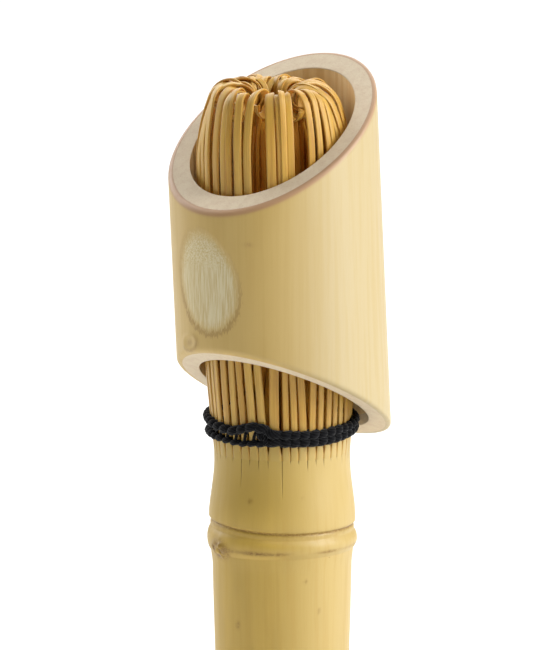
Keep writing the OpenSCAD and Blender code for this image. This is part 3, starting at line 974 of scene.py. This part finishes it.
class TeaWhiskSleeve(bpy.types.PropertyGroup):
    edge: length_property("Edge rounding", "How far the outer cut edges are rounded", 0.75)
    inner_edge: length_property("Inner edge rounding", "How far the edges of the bore are rounded", 0.14)
    unevenness: length_property("Unevenness", "How far the tube wanders from round", 0.12)
    patch_width: length_property("Scraped width", "Width of the scraped oval", 14.8)
    patch_height: length_property("Scraped height", "Height of the scraped oval", 18.6)
    patch_angle: angle_property("Scraped place", "Place of the oval, from the front to the left", 44.6)
    patch_rise: length_property("Scraped rise", "Height of the oval's middle", 85.4)
    patch_depth: length_property("Scraped depth", "Depth that was scraped off", 0.16)
    skin: colour_property("Skin", "Bleached skin", "#c0a25c")
    # Painted sheen: the paler colour painted over the lit right side of the sleeve
    pale: colour_property("Pale side", "Skin of the side that the sun bleached", "#b9a77d")
    shade: colour_property("Clouds", "Warmer clouds in the skin", "#bb9c55")
    streak: colour_property("Streaks", "Streaks along the tube", "#b2944e")
    scraped: colour_property("Scraped", "Pale fibres of the scraped oval", "#d6cba6")
    outline: colour_property("Outline", "Brown edge of the scraped oval", "#94743f")
    cut: colour_property("Cut wood", "End grain", "#d5c6ab")
    cut_edge: colour_property("Cut edge", "Rosy brown edge of the end grain", "#ab8264")
    bore: colour_property("Bore", "Inner wall", "#f0d49c")
    bore_dark: colour_property("Dark bore", "Darker fibres of the inner wall", "#e2bf84")


def build_sleeve(s):
    """The tube as one closed loop of profile rows carried round its axis. The walls end at the two cut
    planes; each corner is a quadratic curve that leaves both of its sides by the edge rounding."""
    rng = np.random.default_rng(51)
    turns, corner_rows = 336, 5
    a = np.linspace(0, 2 * np.pi, turns, endpoint=False)
    outer_r, bore_r = TUBE["outer_r"], TUBE["bore_r"]

    def section_corner(radius, cut):
        """Radius and height at each angle where a wall meets a cut."""
        plane = TUBE[cut]
        height = plane[0] + radius * (plane[1] * np.cos(a) + plane[2] * np.sin(a))
        return np.stack([np.full(turns, radius), height], -1)

    def rounded(before, here, after, size):
        """Quadratic curve round a corner, starting one size before it and ending one size after it."""
        start = here + unit(before - here) * size
        end = here + unit(after - here) * size
        t = np.linspace(0, 1, corner_rows)[:, None, None]
        return (1 - t) ** 2 * start + 2 * t * (1 - t) * here + t**2 * end

    # From the low outer corner: up the skin, in over the top cut, down the bore and out over the low cut.
    # Each stretch has its number of rows, the rounding and the face kind of its first corner, and its own
    # face kind.
    stretches = ((90, s.edge, SKIN_FACE, SKIN_FACE), (12, s.edge, SKIN_FACE, CUT_FACE),
                 (34, s.inner_edge, CUT_FACE, BORE_FACE), (12, s.inner_edge, CUT_FACE, CUT_FACE))
    corners = [section_corner(outer_r, "low_cut"), section_corner(outer_r, "top_cut"),
               section_corner(bore_r, "top_cut"), section_corner(bore_r, "low_cut")]
    rounds = [rounded(corners[i - 1], corners[i], corners[(i + 1) % 4], stretches[i][1]) for i in range(4)]
    rows, faces = [], []
    for i, (count, _, corner_face, face) in enumerate(stretches):
        start, end = rounds[i][-1], rounds[(i + 1) % 4][0]
        t = np.linspace(0, 1, count + 2)[1:-1, None, None]
        rows += [rounds[i], start + (end - start) * t]
        faces += [corner_face] * corner_rows + [face] * count
    faces = np.array(faces)
    profile = np.concatenate(rows)
    radius, height = profile[..., 0], profile[..., 1]
    outside = ease(radius, (outer_r + bore_r) / 2, outer_r)

    # Rosy rim: on the cuts close under the skin, fainter below, and on the skin close under the top cut
    rim = ease(radius, outer_r - 1.1 * MM, outer_r - 0.1 * MM) * (faces == CUT_FACE)[:, None]
    rim = rim * (0.35 + 0.65 * (height > height.mean()))
    under_edge = corners[1][:, 1] - height
    rim = rim + ease(under_edge, 0.9 * MM, 0.3 * MM) * (faces == SKIN_FACE)[:, None]

    # The scraped oval: its top leans left and is narrower, and its middle is sunk
    def away(degrees, rise):
        """How far right and how far up each point is from a place on the skin."""
        return turned(a, FRONT + math.radians(degrees)) * outer_r, height - rise

    u, v = away(-math.degrees(s.patch_angle), s.patch_rise)
    oval_x = (u + OVAL_LEAN * v) * 2 / s.patch_width / (1 - OVAL_TAPER * v / s.patch_height)
    oval_y = v * 2 / s.patch_height
    oval = np.hypot(oval_x, oval_y)
    radius = radius + s.unevenness * ripple(a, height, rng, 4, 0.04) * (0.4 + 0.6 * outside)
    radius = radius - s.patch_depth * ease(oval, 1.02, 0.85) * outside

    # The bud scar below it is a raised ring round a dent, with dirt along its low side
    u, v = away(*SLEEVE_BUD)
    bud = np.hypot((u - 0.4 * v) / (2.3 * MM), v / (1.5 * MM))
    radius = radius + 0.14 * MM * bell(bud, 0.9, 0.28) * outside - 0.1 * MM * bell(bud, 0, 0.5) * outside
    mark = 0.75 * bell(bud, 1.0, 0.2) * ease(v - 0.5 * u, 1.6 * MM, -1.6 * MM) + 0.5 * bell(bud, 0.1, 0.3)
    u, v = away(*SLEEVE_SPECK)
    mark = mark + 0.45 * bell(np.hypot(u / (0.7 * MM), v / (0.4 * MM)), 0, 1)
    mark = np.clip(mark, 0, 1) * outside

    local = around(a, radius, 0, height) + TUBE["offset"]
    # Turned over, so that the faces point outwards
    points = (local @ TUBE["turn"]).transpose(1, 0, 2)[None, :, ::-1]
    values = {name: value.T[None, :, ::-1] for name, value in
              (("rim", rim), ("mark", mark), ("oval", oval), ("rise", oval_y))}
    return build("sleeve_tube", points, closed=True, column_material=faces[::-1], sharp=70, **values)


# --- Stage ---------------------------------------------------------------------------------------


class TeaWhiskStage(bpy.types.PropertyGroup):
    elevation: angle_property("Camera elevation", "How far the camera looks down", 8.6)
    distance: length_property("Camera distance", "From the camera to the whisk", 1000)
    view_height: length_property("View height", "Height that the view takes in at the whisk", 111.5)
    aim_x: length_property("Aim across", "Middle of the view, across", -1.3)
    aim_z: length_property("Aim height", "Middle of the view, up", 75.6)
    key: light_property("Key light", "the tall soft light on the right", 10.5)
    rim: light_property("Rim light", "the soft light behind on the left", 4.6)
    top: light_property("Top light", "the soft light above the front", 1.5)
    sweep: light_property("Sweep light", "the wide light over the paper behind", 2.8)
    sky: light_property("Room light", "the even light from all sides", 0.05)
    floor: colour_property("Floor", "Pale floor", "#f4f4f2")


def soft_light(name, azimuth, elevation, distance, width, height, radiance):
    """An area light that faces the whisk. Azimuth is from the front to the right. Its power is
    pi * area * radiance."""
    data = bpy.data.lights.new(name, "AREA")
    data.shape = "RECTANGLE"
    data.size, data.size_y = width, height
    data.energy = math.pi * width * height * radiance
    light = bpy.data.objects.new(name, data)
    bpy.context.scene.collection.objects.link(light)
    a, e = math.radians(azimuth), math.radians(elevation)
    back = Vector((math.sin(a) * math.cos(e), -math.cos(a) * math.cos(e), math.sin(e)))
    light.location = Vector((0, 0, 0.08)) + back * distance
    light.rotation_euler = (-back).to_track_quat("-Z", "Y").to_euler()
    light.visible_camera = False


def build_stage(s):
    """Pale floor, a tall soft light on the right, three weaker ones round the whisk, and the camera."""
    floor_mesh = bpy.data.meshes.new("floor")
    half = 8.0
    corners = [(-half, -half, 0), (half, -half, 0), (half, half, 0), (-half, half, 0)]
    floor_mesh.from_pydata(corners, [], [(0, 1, 2, 3)])
    floor = bpy.data.objects.new("floor", floor_mesh)
    bpy.context.scene.collection.objects.link(floor)
    # Matt white studio paper
    material, tree = new_material("paper_floor_white")
    put(tree, "OutputMaterial", (put(tree, "BsdfPrincipled", {"Base Color": s.floor, "Roughness": 0.9}),))
    floor_mesh.materials.append(material)

    soft_light("key_light", 72, 30, 1.1, 0.55, 0.9, s.key)
    soft_light("rim_light", -125, 27, 1.1, 0.6, 0.9, s.rim)
    soft_light("top_light", 0, 62, 1.4, 1.3, 1.0, s.top)
    soft_light("sweep_light", 180, 40, 2.0, 2.6, 1.6, s.sweep)
    world = bpy.data.worlds.new("studio")
    world.use_nodes = True
    world.node_tree.nodes["Background"].inputs[0].default_value = (1, 1, 1, 1)
    world.node_tree.nodes["Background"].inputs[1].default_value = s.sky
    bpy.context.scene.world = world
    bpy.context.scene.view_settings.view_transform = "Standard"

    data = bpy.data.cameras.new("camera")
    data.sensor_width = 36
    data.lens = 36 * s.distance / s.view_height
    camera = bpy.data.objects.new("camera", data)
    bpy.context.scene.collection.objects.link(camera)
    aim = Vector((s.aim_x, 0, s.aim_z))
    back = Vector((0, -math.cos(s.elevation), math.sin(s.elevation)))
    camera.location = aim + back * s.distance
    camera.rotation_euler = (-back).to_track_quat("-Z", "Y").to_euler()
    bpy.context.scene.camera = camera


# --- Operators -----------------------------------------------------------------------------------


class TEAWHISK_OT_handle(bpy.types.Operator):
    """Build the handle"""

    bl_idname = "teawhisk.handle"
    bl_label = "Handle"

    def execute(self, context):
        s = context.scene.tea_whisk_handle
        finish_piece(build_handle(s), WHISK, ["handle"], "culm_skin", culm_skin_material(s))
        return {"FINISHED"}


class TEAWHISK_OT_outer_tines(bpy.types.Operator):
    """Build the outer tines, one piece for each section of the culm"""

    bl_idname = "teawhisk.outer_tines"
    bl_label = "Outer tines"

    def execute(self, context):
        s = context.scene.tea_whisk_tines
        material = tine_skin_material(s, context.scene.tea_whisk_handle)
        build_sections(OUTER_NODES, *outer_tine_grids(s), "tine_skin", material)
        return {"FINISHED"}


class TEAWHISK_OT_inner_tines(bpy.types.Operator):
    """Build the inner tines, one piece for each section of the culm"""

    bl_idname = "teawhisk.inner_tines"
    bl_label = "Inner tines"

    def execute(self, context):
        s = context.scene.tea_whisk_inner_tines
        build_sections(INNER_NODES, *inner_tine_grids(s), "tine_flesh", tine_flesh_material(s))
        return {"FINISHED"}


class TEAWHISK_OT_thread(bpy.types.Operator):
    """Weave the thread round the tines and tie its knot"""

    bl_idname = "teawhisk.thread"
    bl_label = "Thread"

    def execute(self, context):
        s = context.scene.tea_whisk_thread
        material = thread_material(s)
        rows = (("thread_low_row", LOW_ROW, LOW_ROW_COURSE, 61, s.climb),
                ("thread_top_row", TOP_ROW, TOP_ROW_COURSE, 67, 0))
        for node, plane, stops, seed, climb in rows:
            points, uv = row_strands(s, plane, stops, seed, climb)
            piece = build(node + "_woven", points, uv=uv, closed=True)
            finish_piece(piece, WHISK, [node], "thread", material)
        angle = np.linspace(0, 2 * np.pi, COUNT * 4, endpoint=False)
        inner = np.hypot(*node_points("thread_inner_turn")[:, :2].T)
        height = (LOW_ROW[0] + TOP_ROW[0]) / 2 + 0 * angle
        points, uv = strand(angle, inner.mean() + 0 * angle, height, s.thickness + 0 * angle)
        laid = build("thread_inner_turn_laid", points, uv=uv, closed=True)
        finish_piece(laid, WHISK, ["thread_inner_turn"], "thread", material)
        points, uv = knot_grid(s)
        tied = build("thread_knot_tied", points, uv=uv, closed=True)
        finish_piece(tied, WHISK, ["thread_knot"], "thread", material)
        return {"FINISHED"}


class TEAWHISK_OT_sleeve(bpy.types.Operator):
    """Build the sleeve"""

    bl_idname = "teawhisk.sleeve"
    bl_label = "Sleeve"

    def execute(self, context):
        s = context.scene.tea_whisk_sleeve
        finish_piece(build_sleeve(s), SLEEVE, ["sleeve"], "sleeve_bamboo", sleeve_skin_material(s),
                     cut_wood_material(s), bore_material(s))
        return {"FINISHED"}


class TEAWHISK_OT_stage(bpy.types.Operator):
    """Set up the floor, the lights and the camera"""

    bl_idname = "teawhisk.stage"
    bl_label = "Stage"

    def execute(self, context):
        build_stage(context.scene.tea_whisk_stage)
        return {"FINISHED"}


OPERATORS = (TEAWHISK_OT_stage, TEAWHISK_OT_handle, TEAWHISK_OT_outer_tines, TEAWHISK_OT_inner_tines,
             TEAWHISK_OT_thread, TEAWHISK_OT_sleeve)


class TEAWHISK_PT_panel(bpy.types.Panel):
    """Lists the pieces of the tea whisk"""

    bl_idname = "TEAWHISK_PT_panel"
    bl_label = "Tea Whisk"
    bl_space_type = "VIEW_3D"
    bl_region_type = "UI"
    bl_category = "Tea Whisk"

    def draw(self, context):
        for operator in OPERATORS:
            self.layout.operator(operator.bl_idname)
        for key in SETTINGS:
            box = self.layout.box()
            group = getattr(context.scene, key)
            for name in group.bl_rna.properties.keys():
                if name not in ("rna_type", "name"):
                    box.prop(group, name)


SETTINGS = {
    "tea_whisk_stage": TeaWhiskStage,
    "tea_whisk_handle": TeaWhiskHandle,
    "tea_whisk_tines": TeaWhiskTines,
    "tea_whisk_inner_tines": TeaWhiskInnerTines,
    "tea_whisk_thread": TeaWhiskThread,
    "tea_whisk_sleeve": TeaWhiskSleeve,
}


def register():
    for key, group in SETTINGS.items():
        bpy.utils.register_class(group)
        setattr(bpy.types.Scene, key, bpy.props.PointerProperty(type=group))
    for each in (*OPERATORS, TEAWHISK_PT_panel):
        bpy.utils.register_class(each)


def unregister():
    for each in (TEAWHISK_PT_panel, *reversed(OPERATORS)):
        bpy.utils.unregister_class(each)
    for key, group in reversed(SETTINGS.items()):
        delattr(bpy.types.Scene, key)
        bpy.utils.unregister_class(group)


def main():
    """Builds the whole whisk."""
    register()
    bpy.ops.teawhisk.stage()
    bpy.ops.teawhisk.handle()
    bpy.ops.teawhisk.outer_tines()
    bpy.ops.teawhisk.inner_tines()
    bpy.ops.teawhisk.thread()
    bpy.ops.teawhisk.sleeve()


if __name__ == "__main__":
    main()
